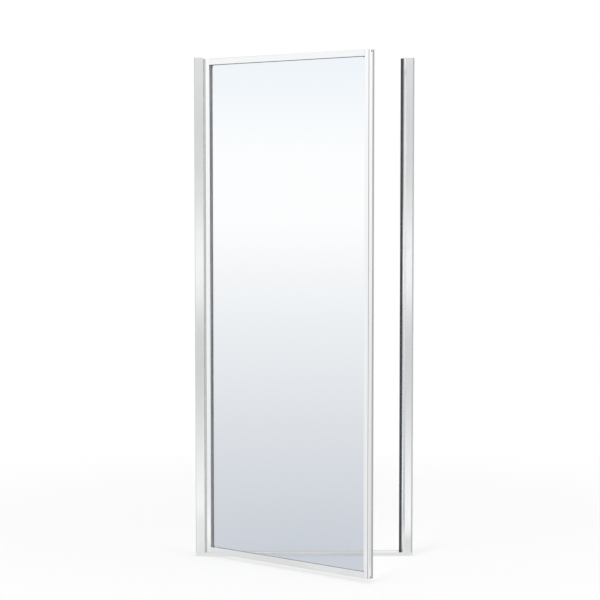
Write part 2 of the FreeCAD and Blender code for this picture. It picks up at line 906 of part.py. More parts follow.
def door_core_corners():
    low = ("rebate_left + vinyl_wall", "door_magnet_face - vinyl_wall - core_thickness")
    high = ("door_right - vinyl_wall", "door_magnet_face - vinyl_wall")
    return low, high


def build_door_magnet_core():
    body = new_body("door_magnet_core")
    sketch = new_sketch(body, "XY_Plane", "door_foot")
    add_rectangle(sketch, *door_core_corners())
    add_pad(body, sketch, "door_height")
    return hang_on_pin(body)


def strike_core_corners():
    near = "stop_end + strike_magnet_margin + vinyl_wall"
    far = "strike_web - strike_magnet_margin - vinyl_wall"
    face = "stop_front - strike_magnet_thickness + vinyl_wall"
    return (near, face), (far, f"{face} + core_thickness")


def build_strike_magnet_sleeve():
    body = new_body("strike_magnet_sleeve")
    face = "stop_front - strike_magnet_thickness"
    near = "stop_end + strike_magnet_margin"
    far = "strike_web - strike_magnet_margin"
    sketch = new_sketch(body, "XY_Plane", "sill_height")
    add_outline(sketch, [
        (near, face),
        (far, face),
        (far, "stop_front"),
        ("stop_middle + tail_width / 2", "stop_front"),
        ("stop_middle + tail_width / 2", "stop_front + tail_length"),
        ("stop_middle - tail_width / 2", "stop_front + tail_length"),
        ("stop_middle - tail_width / 2", "stop_front"),
        (near, "stop_front"),
    ])
    add_rectangle(sketch, *strike_core_corners())
    add_pad(body, sketch, "upright_length")
    round_edges(body, "corner_radius", (0, 0, 1), [(near, face), (far, face)])
    return body


def build_strike_magnet_core():
    body = new_body("strike_magnet_core")
    sketch = new_sketch(body, "XY_Plane", "sill_height")
    add_rectangle(sketch, *strike_core_corners())
    add_pad(body, sketch, "upright_length")
    return body


def drip_screw_places():
    span = "rail_right - rail_left - 2 * drip_screw_inset"
    along = spread("rail_left + drip_screw_inset", span, drip_screw_count)
    return [(place, "door_foot + drip_screw_height") for place in along]


def build_drip_rail():
    # A flange on the back of the door, a sloping apron, and under it a holder for the sweep.
    body = new_body("drip_rail")
    flange = "door_back + drip_wall"
    edge = f"{flange} + drip_reach"
    holder = f"{flange} + holder_gap"
    holder_top = "door_foot + drip_foot + holder_depth"
    slope = "(drip_root_height - drip_edge_height) / drip_reach"
    under_edge = "door_foot + drip_edge_height - drip_wall"
    under_holder = f"{under_edge} + {slope} * (drip_reach - holder_gap - drip_wall)"
    sketch = new_sketch(body, "YZ_Plane", "drip_left")
    add_outline(sketch, [
        ("door_back", "door_foot + drip_foot"),
        (flange, "door_foot + drip_foot"),
        (flange, holder_top),
        (holder, holder_top),
        (holder, "door_foot + drip_foot"),
        (f"{holder} + drip_wall", "door_foot + drip_foot"),
        (f"{holder} + drip_wall", under_holder),
        (edge, under_edge),
        (edge, "door_foot + drip_edge_height"),
        (flange, "door_foot + drip_root_height"),
        (flange, "door_foot + drip_top"),
        ("door_back", "door_foot + drip_top"),
    ])
    add_pad(body, sketch, "drip_right - drip_left")
    bore_along_y(
        body,
        "door_back - cut_overrun",
        f"{flange} + cut_overrun",
        drip_screw_places(),
        "drip_screw_radius + thread_clearance",
    )
    return hang_on_pin(body)


def build_drip_sweep():
    # A soft strip held under the apron, with a fin that ends just above the sill.
    body = new_body("drip_sweep")
    near = "door_back + drip_wall + sweep_fit"
    far = "door_back + drip_wall + holder_gap - sweep_fit"
    middle = "door_back + drip_wall + holder_gap / 2"
    shoulder = "door_foot + drip_foot - fin_step"
    tip = "sill_height + sweep_clearance"
    sketch = new_sketch(body, "YZ_Plane", "drip_left")
    add_outline(sketch, [
        (near, "door_foot + drip_foot + holder_depth"),
        (near, shoulder),
        (f"{middle} - fin_top_width / 2", shoulder),
        (f"{middle} - fin_tip_width / 2", tip),
        (f"{middle} + fin_tip_width / 2", tip),
        (f"{middle} + fin_top_width / 2", shoulder),
        (far, shoulder),
        (far, "door_foot + drip_foot + holder_depth"),
    ])
    add_pad(body, sketch, "drip_right - drip_left")
    return hang_on_pin(body)


def build_drip_screws():
    body = new_body("drip_rail_screws")
    seat = "door_back + drip_wall"
    top = f"{seat} + drip_screw_head_height"
    outline = [
        (f"{seat} - drip_screw_length", "0"),
        (f"{seat} - drip_screw_length + drip_screw_radius", "drip_screw_radius"),
        (seat, "drip_screw_radius"),
        (seat, "drip_screw_head_radius"),
        (f"{top} - drip_screw_head_height / 3", "drip_screw_head_radius"),
        (top, "drip_screw_head_radius * 3 / 4"),
        (top, "drip_screw_radius * 3 / 4"),
        (f"{top} - drip_screw_head_height / 2", "drip_screw_radius * 3 / 4"),
        (f"{top} - drip_screw_head_height / 2", "0"),
    ]
    first, height = drip_screw_places()[0]
    turned = revolve_about_y(body, first, height, outline)
    span = "rail_right - rail_left - 2 * drip_screw_inset"
    add_pattern(body, turned, "X_Axis", span, drip_screw_count)
    return hang_on_pin(body)


pieces = [
    build_sill(),
    build_wall_channel("hinge_wall_channel", -1),
    build_wall_channel("strike_wall_channel", 1),
    build_hinge_jamb(),
    build_strike_jamb(),
    build_jamb_screws("hinge_jamb_screws", -1),
    build_jamb_screws("strike_jamb_screws", 1),
    build_strike_magnet_sleeve(),
    build_strike_magnet_core(),
    set_on_pin(build_leaf("jamb_leaf", -1, 1)),
    set_on_pin(build_hinge_pin()),
    set_on_pin(build_rivets("jamb_leaf_rivets", -1, "jamb_wall")),
    hang_on_pin(build_leaf("door_leaf", 1, 0)),
    hang_on_pin(build_rivets("door_leaf_rivets", 1, "member_wall")),
    build_hinge_stile(),
    build_strike_stile(),
    build_top_rail(),
    build_bottom_rail(),
    build_corner_screws(),
    build_glass(),
    build_gasket(),
    build_door_magnet_sleeve(),
    build_door_magnet_core(),
    build_drip_rail(),
    build_drip_sweep(),
    build_drip_screws(),
]
doc.recompute()

for item in doc.Objects:
    if "Invalid" in item.State or "Error" in item.State:
        raise RuntimeError(f"{item.Label} did not build")
for piece in pieces:
    if piece.Shape.isNull() or not piece.Shape.isValid():
        raise RuntimeError(f"{piece.Label} has no sound shape")

os.makedirs("parts", exist_ok=True)
for piece in pieces:
    piece.Shape.exportStep(f"parts/{piece.Label}.step")
    print(piece.Label, len(piece.Shape.Solids), "solid(s)", round(piece.Shape.Volume, 1), "mm3")
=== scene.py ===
import json
import math

import bmesh
import bpy
from mathutils import Matrix, Vector
from mathutils.geometry import tessellate_polygon


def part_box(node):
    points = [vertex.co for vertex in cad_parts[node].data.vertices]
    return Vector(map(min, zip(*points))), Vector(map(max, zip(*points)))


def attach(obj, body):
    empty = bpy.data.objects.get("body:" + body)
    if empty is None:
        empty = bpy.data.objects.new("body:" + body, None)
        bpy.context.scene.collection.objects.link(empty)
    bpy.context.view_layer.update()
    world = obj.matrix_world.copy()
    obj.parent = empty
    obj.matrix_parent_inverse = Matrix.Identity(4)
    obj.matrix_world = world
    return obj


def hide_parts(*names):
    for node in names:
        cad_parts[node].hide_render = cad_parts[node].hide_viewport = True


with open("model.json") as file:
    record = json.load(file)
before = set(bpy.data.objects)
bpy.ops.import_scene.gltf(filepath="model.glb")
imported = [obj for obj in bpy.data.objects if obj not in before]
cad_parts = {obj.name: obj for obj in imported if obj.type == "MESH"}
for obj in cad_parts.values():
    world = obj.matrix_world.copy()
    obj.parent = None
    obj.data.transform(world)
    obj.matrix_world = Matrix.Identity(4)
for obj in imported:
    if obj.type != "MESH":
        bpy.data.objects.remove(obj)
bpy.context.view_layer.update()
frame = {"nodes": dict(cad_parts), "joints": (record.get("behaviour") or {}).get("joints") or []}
print("frame loaded")

swing = frame["joints"][0]
pin = Vector(swing["pos_m"])
opening = -math.radians(swing["range_deg"][0])  # how far the door stands open at rest
doorPlace = Matrix.Translation((pin.x, pin.y, 0)) @ Matrix.Rotation(-opening, 4, "Z")
quarter = math.pi / 2
sharpAngle = 0.6  # in radians: faces that meet at more than this are shaded apart
bendLimit = 0.45  # share of a side that the bend at one of its ends may take
newPieces = {}  # each by the node that it stands for


# Shapes that more than one piece uses.

def linked(name, data):
    item = bpy.data.objects.new(name, data)
    bpy.context.scene.collection.objects.link(item)
    return item


def newPiece(name, mesh, body, node):
    piece = linked(name, mesh)
    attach(piece, body)
    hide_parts(node)
    newPieces[node] = piece


def shadeEdges(mesh):
    mesh.shade_smooth()
    mesh.set_sharp_from_angle(angle=sharpAngle)


def meshFrom(name, points, faces):
    mesh = bpy.data.meshes.new(name)
    mesh.from_pydata([tuple(point) for point in points], [], faces)
    mesh.validate()
    shell = bmesh.new()
    shell.from_mesh(mesh)
    bmesh.ops.recalc_face_normals(shell, faces=shell.faces)
    shell.to_mesh(mesh)
    shell.free()
    shadeEdges(mesh)
    return mesh


def rounded(points, radius, steps=4):
    # The outline with a soft bend in place of each corner.
    outline = []
    for index, corner in enumerate(points):
        here = Vector(corner)
        before = Vector(points[index - 1]) - here
        after = Vector(points[(index + 1) % len(points)]) - here
        reach = min(radius, bendLimit * before.length, bendLimit * after.length)
        start = here + before.normalized() * reach
        end = here + after.normalized() * reach
        for step in range(steps + 1):
            share = step / steps
            outline.append(start.lerp(here, share).lerp(here.lerp(end, share), share))
    return outline


def rectangle(low, high):
    return [(low.x, low.y), (high.x, low.y), (high.x, high.y), (low.x, high.y)]


def extruded(name, loops, low, high, place):
    # The first loop is the outside and the others are hollows, drawn out between two heights.
    flat = [Vector((point[0], point[1], 0)) for loop in loops for point in loop]
    total = len(flat)
    points = [place @ Vector((point.x, point.y, level)) for level in (low, high) for point in flat]
    faces = []
    first = 0
    for loop in loops:
        count = len(loop)
        for step in range(count):
            here, after = first + step, first + (step + 1) % count
            faces.append((here, after, total + after, total + here))
        first += count
    loopPoints = [[Vector((point[0], point[1], 0)) for point in loop] for loop in loops]
    for triangle in tessellate_polygon(loopPoints):
        faces.append(tuple(triangle))
        faces.append(tuple(total + index for index in triangle))
    return meshFrom(name, points, faces)


def rings(name, loops, closed=True):
    # Loops of equal length joined one to the next. An open run of them gets an end at each side.
    count = len(loops[0])
    points = [point for loop in loops for point in loop]
    faces = []
    for index in range(len(loops) if closed else len(loops) - 1):
        first, second = index * count, (index + 1) % len(loops) * count
        for step in range(count):
            after = (step + 1) % count
            faces.append((first + step, first + after, second + after, second + step))
    if not closed:
        faces.append(tuple(range(count)))
        faces.append(tuple(range(len(points) - count, len(points))))
    return meshFrom(name, points, faces)


def frameBox(node):
    return [Vector(corner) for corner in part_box(node)]


def doorBox(node):
    # Corners of a door node along the closed door, measured from the pin.
    back = doorPlace.inverted()
    points = [back @ vertex.co for vertex in frame["nodes"][node].data.vertices]
    low = Vector([min(point[axis] for point in points) for axis in range(3)])
    high = Vector([max(point[axis] for point in points) for axis in range(3)])
    return low, high


# The vinyl channel around the glass, with a bead on each side of the sheet.
gasketShape = {
    "frontLip": 0.003,
    "rearLip": 0.0058,
    "crevice": 0.0011,
    "creviceRun": 0.0009,
    "beadDrop": 0.0009,
    "beadCrown": 0.000225,
    "sheetGap": 0.00004,
    "edgeRadius": 0.0004,
    # How much of each lip shows at the top and bottom rails, where the glass has settled.
    "frontRails": (0.3, 0.14),
    "rearRails": (0.2, 0.06),
    "cornerRadius": 0.0005,
    "cornerGrowth": 1.2,
    "cornerSteps": 8,
}


def gasketSide(metalEdge, half, sheet, lip):
    # One side of the channel's section, from its back to the end of its lip on the glass.
    shape = gasketShape
    run = shape["creviceRun"]
    return [
        (0, half),
        (metalEdge - run, half),
        (metalEdge, half - shape["crevice"]),
        (metalEdge + run, half),
        (metalEdge + lip - run, half - shape["beadCrown"]),
        (metalEdge + lip, half - shape["beadDrop"]),
        (metalEdge + lip, sheet),
    ]


def buildGasket():
    shape = gasketShape
    low, high = doorBox("glazing_gasket")
    glassLow, glassHigh = doorBox("glass_panel")
    middle = (low.y + high.y) / 2
    half = (high.y - low.y) / 2
    sheet = (glassHigh.y - glassLow.y) / 2 + shape["sheetGap"]
    base = glassLow.z - low.z
    metalEdge = doorBox("bottom_rail")[1].z - low.z
    front = [(inset, -across) for inset, across in gasketSide(metalEdge, half, sheet, shape["frontLip"])]
    rear = gasketSide(metalEdge, half, sheet, shape["rearLip"])
    section = rounded(front + [(base, -sheet), (base, sheet)] + rear[::-1], shape["edgeRadius"])
    loops = []
    for inset, across in section:
        beyond = max(0, inset - metalEdge)
        radius = shape["cornerRadius"] + shape["cornerGrowth"] * beyond
        topShare, footShare = shape["frontRails"] if across < 0 else shape["rearRails"]
        side = inset + radius
        top = side - beyond * (1 - topShare)
        foot = side - beyond * (1 - footShare)
        corners = (
            (high.x - side, high.z - top),
            (low.x + side, high.z - top),
            (low.x + side, low.z + foot),
            (high.x - side, low.z + foot),
        )
        loop = []
        for turn, (cornerX, cornerZ) in enumerate(corners):
            for step in range(shape["cornerSteps"] + 1):
                angle = quarter * (turn + step / shape["cornerSteps"])
                x = cornerX + radius * math.cos(angle)
                z = cornerZ + radius * math.sin(angle)
                loop.append(doorPlace @ Vector((x, middle + across, z)))
        loops.append(loop)
    mesh = rings("glazingGasket", loops)
    newPiece("glazingGasket", mesh, "door", "glazing_gasket")


buildGasket()

# The sweep under the drip rail: a ribbed root in the holder and a thin fin that waves a little.
sweepShape = {
    "sections": 170,
    "finHeight": 0.0038,
    "finTop": 0.0009,
    "finTip": 0.00035,
    "ribCount": 3,
    "ribDepth": 0.0003,
    "wave": 0.0003,
    "waveLength": 0.17,
    # A second, finer wave on the first: its height, its pace and where it begins.
    "ripple": (0.4, 2.7, 1),
}


def sweepSection(low, high):
    shape = sweepShape
    middle = (low.y + high.y) / 2
    shoulder = low.z + shape["finHeight"]
    pitch = (high.z - shoulder) / shape["ribCount"]
    near = []
    for rib in range(shape["ribCount"]):
        top = high.z - rib * pitch
        near += [(low.y + shape["ribDepth"], top), (low.y, top - pitch / 2)]
    near += [
        (low.y, shoulder),
        (middle - shape["finTop"], shoulder),
        (middle - (shape["finTop"] + shape["finTip"]) / 2, (shoulder + low.z) / 2),
        (middle - shape["finTip"], low.z),
    ]
    far = [(2 * middle - across, height) for across, height in reversed(near)]
    return near + far, shoulder


def buildSweep():
    shape = sweepShape
    low, high = doorBox("drip_sweep")
    section, shoulder = sweepSection(low, high)
    outline = rounded(section, shape["finTip"], steps=2)
    rippleHeight, pace, begin = shape["ripple"]
    loops = []
    for index in range(shape["sections"] + 1):
        along = low.x + (high.x - low.x) * index / shape["sections"]
        phase = 2 * math.pi * along / shape["waveLength"]
        swell = math.sin(phase) + rippleHeight * math.sin(pace * phase + begin)
        lean = shape["wave"] * swell / (1 + rippleHeight)
        loop = []
        for across, height in outline:
            hang = max(0, (shoulder - height) / shape["finHeight"])
            loop.append(doorPlace @ Vector((along, across + lean * hang * hang, height)))
        loops.append(loop)
    mesh = rings("dripSweep", loops, closed=False)
    newPiece("dripSweep", mesh, "door", "drip_sweep")


buildSweep()

# The door's magnet strip: a barbed tail, a folding bulb and a chamber for the magnet.
doorStripShape = {
    "tailDepth": 0.0025,
    "tailHalf": 0.00115,
    "barbHalf": 0.0017,
    "barbLength": 0.001,
    "wall": 0.001,
    "fold": 0.0009,
    "edgeRadius": 0.0007,
}


def buildDoorStrip():
    shape = doorStripShape
    low, high = doorBox("door_magnet_sleeve")
    coreLow, coreHigh = doorBox("door_magnet_core")
    middle = (low.x + high.x) / 2
    reach = high.x - middle
    seat = low.y + shape["tailDepth"]
    wall = shape["wall"]
    bulbTop = coreLow.y - wall
    bulbMiddle = (seat + wall + bulbTop) / 2
    barb = low.y + shape["barbLength"]
    half = [
        (shape["tailHalf"], low.y),
        (shape["barbHalf"], barb),
        (shape["tailHalf"], barb),
        (shape["tailHalf"], seat),
        (reach, seat),
        (reach, seat + wall),
        (reach - shape["fold"], bulbMiddle),
        (reach, bulbTop),
        (reach, high.y),
    ]
    outside = [(middle + x, y) for x, y in half] + [(middle - x, y) for x, y in reversed(half)]
    inside = reach - wall
    hollow = [
        (middle - inside, seat + wall),
        (middle + inside, seat + wall),
        (middle + inside - shape["fold"], bulbMiddle),
        (middle + inside, bulbTop),
        (middle - inside, bulbTop),
        (middle - inside + shape["fold"], bulbMiddle),
    ]
    edgeRadius = shape["edgeRadius"]
    loops = [rounded(outside, edgeRadius), rounded(hollow, edgeRadius), rectangle(coreLow, coreHigh)]
    mesh = extruded("doorMagnetStrip", loops, low.z, high.z, doorPlace)
    newPiece("doorMagnetStrip", mesh, "door", "door_magnet_sleeve")


buildDoorStrip()

# The strike side's magnet strip: a flat chamber with two fine grooves on its face and a tail behind.
strikeStripShape = {
    "tailHalf": 0.00115,
    "tailLength": 0.0028,
    "grooveWidth": 0.0007,
    "grooveDepth": 0.0003,
    "groovePlaces": (0.3, 0.7),
    "edgeRadius": 0.0007,
}


def buildStrikeStrip():
    shape = strikeStripShape
    low, high = frameBox("strike_magnet_sleeve")
    coreLow, coreHigh = frameBox("strike_magnet_core")
    middle = (low.x + high.x) / 2
    seat = high.y - shape["tailLength"]
    face = []
    for place in shape["groovePlaces"]:
        x = low.x + (high.x - low.x) * place
        half = shape["grooveWidth"] / 2
        face += [(x - half, low.y), (x, low.y + shape["grooveDepth"]), (x + half, low.y)]
    outside = [(low.x, low.y), *face, (high.x, low.y), (high.x, seat)]
    outside += [(middle + shape["tailHalf"], seat), (middle + shape["tailHalf"], high.y)]
    outside += [(middle - shape["tailHalf"], high.y), (middle - shape["tailHalf"], seat), (low.x, seat)]
    loops = [rounded(outside, shape["edgeRadius"], steps=3), rectangle(coreLow, coreHigh)]
    mesh = extruded("strikeMagnetStrip", loops, low.z, high.z, Matrix.Identity(4))
    newPiece("strikeMagnetStrip", mesh, "frame", "strike_magnet_sleeve")


buildStrikeStrip()
print("vinyl pieces built")

# Pan-head screws with a tapered cross recess and rolled threads.
jambScrew = {
    "headHeight": 0.0024,
    "shankRadius": 0.002,
    "threadDepth": 0.00035,
    "threadPitch": 0.001,
    "recessReach": 0.0024,
    "recessArm": 0.0005,
    "recessDepth": 0.0013,
    "count": 3,
}
dripScrew = {
    "headHeight": 0.0017,
    "shankRadius": 0.0015,
    "threadDepth": 0.00025,
    "threadPitch": 0.0007,
    "recessReach": 0.0017,
    "recessArm": 0.0004,
    "recessDepth": 0.001,
    "count": 4,
}
# The form that all of them have. Its lengths are shares of the shank's radius at the point, and of the
# head's radius or height elsewhere. The last two are shares of the cross at the recess's floor and mouth.
screwShares = {
    "pointRadius": 0.4,
    "pointLength": 0.5,
    "seatRadius": 0.93,
    "seatBevel": 0.12,
    "rimHeight": 0.42,
    "flatRadius": 0.42,
    "domeRadius": 0.58,
    "domeHeight": 0.55,
    "crownRadius": 0.3,
    "crownHeight": 0.99,
    "cutterTop": 1.2,
    "crossFloor": 0.45,
    "crossMouth": 1.15,
}
domeSteps = 7
screwTurns = {"first": 0.4, "next": 0.9}  # in radians, as each one was driven home


def turned(name, outline, segments=40):
    # A solid turned about Z, its outline from one end of the axis to the other.
    points = [(0, 0, outline[0][1])]
    faces = []
    middle = outline[1:-1]
    for radius, height in middle:
        for step in range(segments):
            angle = 4 * quarter * step / segments
            points.append((radius * math.cos(angle), radius * math.sin(angle), height))
    last = len(points)
    points.append((0, 0, outline[-1][1]))
    for step in range(segments):
        after = (step + 1) % segments
        faces.append((0, 1 + after, 1 + step))
        for ring in range(len(middle) - 1):
            first, second = 1 + ring * segments, 1 + (ring + 1) * segments
            faces.append((first + step, first + after, second + after, second + step))
        end = 1 + (len(middle) - 1) * segments
        faces.append((end + step, end + after, last))
    return meshFrom(name, points, faces)


def crossCutter(screw):
    arm, reach = screw["recessArm"], screw["recessReach"]
    plus = [(arm, arm), (arm, reach), (-arm, reach), (-arm, arm), (-reach, arm), (-reach, -arm)]
    plus += [(-x, -y) for x, y in plus]
    above = screw["headHeight"] * screwShares["cutterTop"]
    below = screw["headHeight"] - screw["recessDepth"]
    loops = []
    for height, share in ((below, screwShares["crossFloor"]), (above, screwShares["crossMouth"])):
        loops.append([(x * share, y * share, height) for x, y in plus])
    return rings("crossCutter", loops, closed=False)


def carved(mesh, cutter):
    # The first mesh less the second.
    blank = linked("blank", mesh)
    tool = linked("tool", cutter)
    cut = blank.modifiers.new("cut", "BOOLEAN")
    cut.object = tool
    cut.solver = "EXACT"
    graph = bpy.context.evaluated_depsgraph_get()
    result = bpy.data.meshes.new_from_object(blank.evaluated_get(graph))
    for item in (blank, tool):
        bpy.data.objects.remove(item)
    shadeEdges(result)
    return result


def screwMesh(name, screw, headRadius, length):
    # Its seat is at height zero and its head points up.
    share = screwShares
    head, radius, pitch = screw["headHeight"], screw["shankRadius"], screw["threadPitch"]
    root = radius - screw["threadDepth"]
    start = radius - length
    threads = int((length - radius) / pitch) - 1
    outline = [(0, -length), (radius * share["pointRadius"], -length + radius * share["pointLength"])]
    for turn in range(threads):
        height = start + turn * pitch
        outline += [(root, height), (radius, height + pitch / 2)]
    outline += [(root, start + threads * pitch), (root, 0)]
    outline += [(headRadius * share["seatRadius"], 0), (headRadius, head * share["seatBevel"])]
    outline.append((headRadius, head * share["rimHeight"]))
    for step in range(1, domeSteps):
        angle = quarter * step / domeSteps
        across = share["flatRadius"] + share["domeRadius"] * math.cos(angle)
        up = share["rimHeight"] + share["domeHeight"] * math.sin(angle)
        outline.append((headRadius * across, head * up))
    outline += [(headRadius * share["crownRadius"], head * share["crownHeight"]), (0, head)]
    return carved(turned(name, outline), crossCutter(screw))


def repeated(name, mesh, places):
    whole = bmesh.new()
    for place in places:
        start = len(whole.verts)
        whole.from_mesh(mesh)
        whole.verts.ensure_lookup_table()
        bmesh.ops.transform(whole, matrix=place, verts=whole.verts[start:])
    result = bpy.data.meshes.new(name)
    whole.to_mesh(result)
    whole.free()
    return result


def screwPlaces(base, middles):
    stand = Matrix.Rotation(-quarter, 4, "X")
    for index, middle in enumerate(middles):
        turn = screwTurns["next"] * index + screwTurns["first"]
        yield base @ Matrix.Translation(middle) @ stand @ Matrix.Rotation(turn, 4, "Z")


def spread(low, high, count):
    return [low + (high - low) * index / (count - 1) for index in range(count)]


def buildJambScrews(name, node):
    low, high = frameBox(node)
    headRadius = (high.x - low.x) / 2
    seat = high.y - jambScrew["headHeight"]
    mesh = screwMesh(name, jambScrew, headRadius, seat - low.y)
    heights = spread(low.z + headRadius, high.z - headRadius, jambScrew["count"])
    middles = [Vector((low.x + headRadius, seat, height)) for height in heights]
    whole = repeated(name, mesh, screwPlaces(Matrix.Identity(4), middles))
    newPiece(name, whole, "frame", node)


def buildDripScrews():
    low, high = doorBox("drip_rail_screws")
    headRadius = (high.z - low.z) / 2
    seat = high.y - dripScrew["headHeight"]
    mesh = screwMesh("dripRailScrews", dripScrew, headRadius, seat - low.y)
    places = spread(low.x + headRadius, high.x - headRadius, dripScrew["count"])
    middles = [Vector((place, seat, low.z + headRadius)) for place in places]
    whole = repeated("dripRailScrews", mesh, screwPlaces(doorPlace, middles))
    newPiece("dripRailScrews", whole, "door", "drip_rail_screws")


buildJambScrews("hingeJambScrews", "hinge_jamb_screws")
buildJambScrews("strikeJambScrews", "strike_jamb_screws")
buildDripScrews()
print("screws built")

# Sawn and drawn edges are eased a little, so that they catch the light.
easedEdges = {
    "sill": 0.0003,
    "hinge_jamb": 0.0003,
    "hinge_wall_channel": 0.0002,
    "strike_wall_channel": 0.0002,
    "hinge_stile": 0.00025,
    "strike_stile": 0.00025,
    "top_rail": 0.00025,
    "bottom_rail": 0.00025,
    "drip_rail": 0.0002,
    "glass_panel": 0.0004,
}
easing = {"weldGap": 0.00001, "segments": 2, "fromAngle": 0.7}
for node, width in easedEdges.items():
    piece = frame["nodes"][node]
    weld = piece.modifiers.new("weld", "WELD")
    weld.merge_threshold = easing["weldGap"]
    ease = piece.modifiers.new("ease", "BEVEL")
    ease.width = width
    ease.segments = easing["segments"]
    ease.limit_method = "ANGLE"
    ease.angle_limit = easing["fromAngle"]
    ease.harden_normals = True
print("edges eased")


# Nodes that more than one material uses.

def put(tree, socket, value):
    # Another node's output is linked, and a colour of three numbers gets its fourth.
    if isinstance(value, bpy.types.NodeSocket):
        tree.links.new(value, socket)
    elif socket.type == "RGBA" and len(value) == 3:
        socket.default_value = (*value, 1)
    else:
        socket.default_value = value


def addNode(tree, kind, inputs=None, **settings):
    node = tree.nodes.new(kind)
    for name, value in settings.items():
        setattr(node, name, value)
    for name, value in (inputs or {}).items():
        put(tree, node.inputs[name], value)
    return node


def addMath(tree, operation, first, second=0.0):
    return addNode(tree, "ShaderNodeMath", {0: first, 1: second}, operation=operation).outputs[0]


def addVector(tree, operation, first, second=(0, 0, 0)):
    node = addNode(tree, "ShaderNodeVectorMath", {0: first, 1: second}, operation=operation)
    return node.outputs["Value" if operation in ("DOT_PRODUCT", "LENGTH") else "Vector"]


def addMix(tree, factor, first, second):
    mix = addNode(tree, "ShaderNodeMix", {"Factor": factor, "A": first, "B": second}, data_type="RGBA")
    return mix.outputs["Result"]


def addRange(tree, value, start, end, low=0.0, high=1.0, curve="LINEAR"):
    inputs = {"Value": value, "From Min": start, "From Max": end, "To Min": low, "To Max": high}
    return addNode(tree, "ShaderNodeMapRange", inputs, interpolation_type=curve).outputs["Result"]


def addNoise(tree, vector, scale, detail, roughness=0.5, distortion=0.0):
    noise = addNode(tree, "ShaderNodeTexNoise", {
        "Vector": vector,
        "Scale": scale,
        "Detail": detail,
        "Roughness": roughness,
        "Distortion": distortion,
    })
    return noise.outputs["Fac"]


def addRelief(tree, height, strength, depth):
    inputs = {"Height": height, "Strength": strength, "Distance": depth}
    return addNode(tree, "ShaderNodeBump", inputs).outputs[0]


def addGlow(tree, colour):
    return addNode(tree, "ShaderNodeEmission", {"Color": colour}).outputs[0]


def chooseShader(tree, factor, first, second):
    return addNode(tree, "ShaderNodeMixShader", {0: factor, 1: first, 2: second}).outputs[0]


def addRays(tree):
    return addNode(tree, "ShaderNodeLightPath").outputs


def objectPlace(tree):
    return addNode(tree, "ShaderNodeTexCoord").outputs["Object"]


def turnedPlace(tree, turn, shift=(0, 0, 0)):
    inputs = {"Vector": objectPlace(tree), "Location": shift, "Rotation": turn}
    return addNode(tree, "ShaderNodeMapping", inputs).outputs[0]


def newGroup(name, inputs, outputs):
    # An input without a value is a vector, and all the others are single numbers.
    group = bpy.data.node_groups.new(name, "ShaderNodeTree")
    for label, value in inputs.items():
        kind = "NodeSocketVector" if value is None else "NodeSocketFloat"
        socket = group.interface.new_socket(label, in_out="INPUT", socket_type=kind)
        if value is not None:
            socket.default_value = value
    for label in outputs:
        group.interface.new_socket(label, in_out="OUTPUT", socket_type="NodeSocketFloat")
    return group, addNode(group, "NodeGroupInput").outputs, addNode(group, "NodeGroupOutput").inputs


def placeGroup(tree, group, vector, inputs=None):
    inputs = {"Vector": vector, **(inputs or {})}
    return addNode(tree, "ShaderNodeGroup", inputs, node_tree=group).outputs


def newMaterial(name):
    material = bpy.data.materials.new(name)
    material.use_nodes = True
    material.node_tree.nodes.clear()
    return material, material.node_tree


def showLook(tree, look, kind="Material"):
    addNode(tree, "ShaderNodeOutput" + kind, {"Surface": look})


# Fine lines that an extrusion die leaves along a section, with slow bands between them.
dieShape = {"stretch": 0.004, "fineness": 2600.0, "bandShare": 0.12}


def makeDieLines():
    inputs = {"Vector": None, "Stretch": dieShape["stretch"], "Fineness": dieShape["fineness"]}
    group, given, result = newGroup("dieLines", inputs, ["Lines", "Bands"])
    squeeze = addNode(group, "ShaderNodeCombineXYZ", {"X": 1.0, "Y": 1.0, "Z": given["Stretch"]})
    drawn = addVector(group, "MULTIPLY", given["Vector"], squeeze.outputs[0])
    coarse = addMath(group, "MULTIPLY", given["Fineness"], dieShape["bandShare"])
    put(group, result["Lines"], addNoise(group, drawn, given["Fineness"], detail=3.0, roughness=0.6))
    put(group, result["Bands"], addNoise(group, drawn, coarse, detail=2.0))
    return group


# Faint smudges and dried splashes where hands and water reach.
marksShape = {
    "amount": 0.5,
    "spotSize": 0.012,
    "smudgeScale": 9.0,
    "smudgeEdge": (0.48, 0.72),
    "spotEdge": (0.16, 0.06),
}


def makeHandlingMarks():
    shape = marksShape
    inputs = {"Vector": None, "Amount": shape["amount"], "Spot Size": shape["spotSize"]}
    group, given, result = newGroup("handlingMarks", inputs, ["Smudge", "Spots"])
    place = given["Vector"]
    cloud = addNoise(group, place, shape["smudgeScale"], detail=5.0, roughness=0.62, distortion=0.8)
    smudge = addRange(group, cloud, *shape["smudgeEdge"], curve="SMOOTHSTEP")
    smudge = addMath(group, "MULTIPLY", smudge, given["Amount"])
    scale = addMath(group, "DIVIDE", 1.0, given["Spot Size"])
    inputs = {"Vector": place, "Scale": scale, "Randomness": 1.0}
    cells = addNode(group, "ShaderNodeTexVoronoi", inputs).outputs["Distance"]
    spots = addRange(group, cells, *shape["spotEdge"], curve="SMOOTHSTEP")
    put(group, result["Smudge"], smudge)
    put(group, result["Spots"], addMath(group, "MULTIPLY", spots, smudge))
    return group


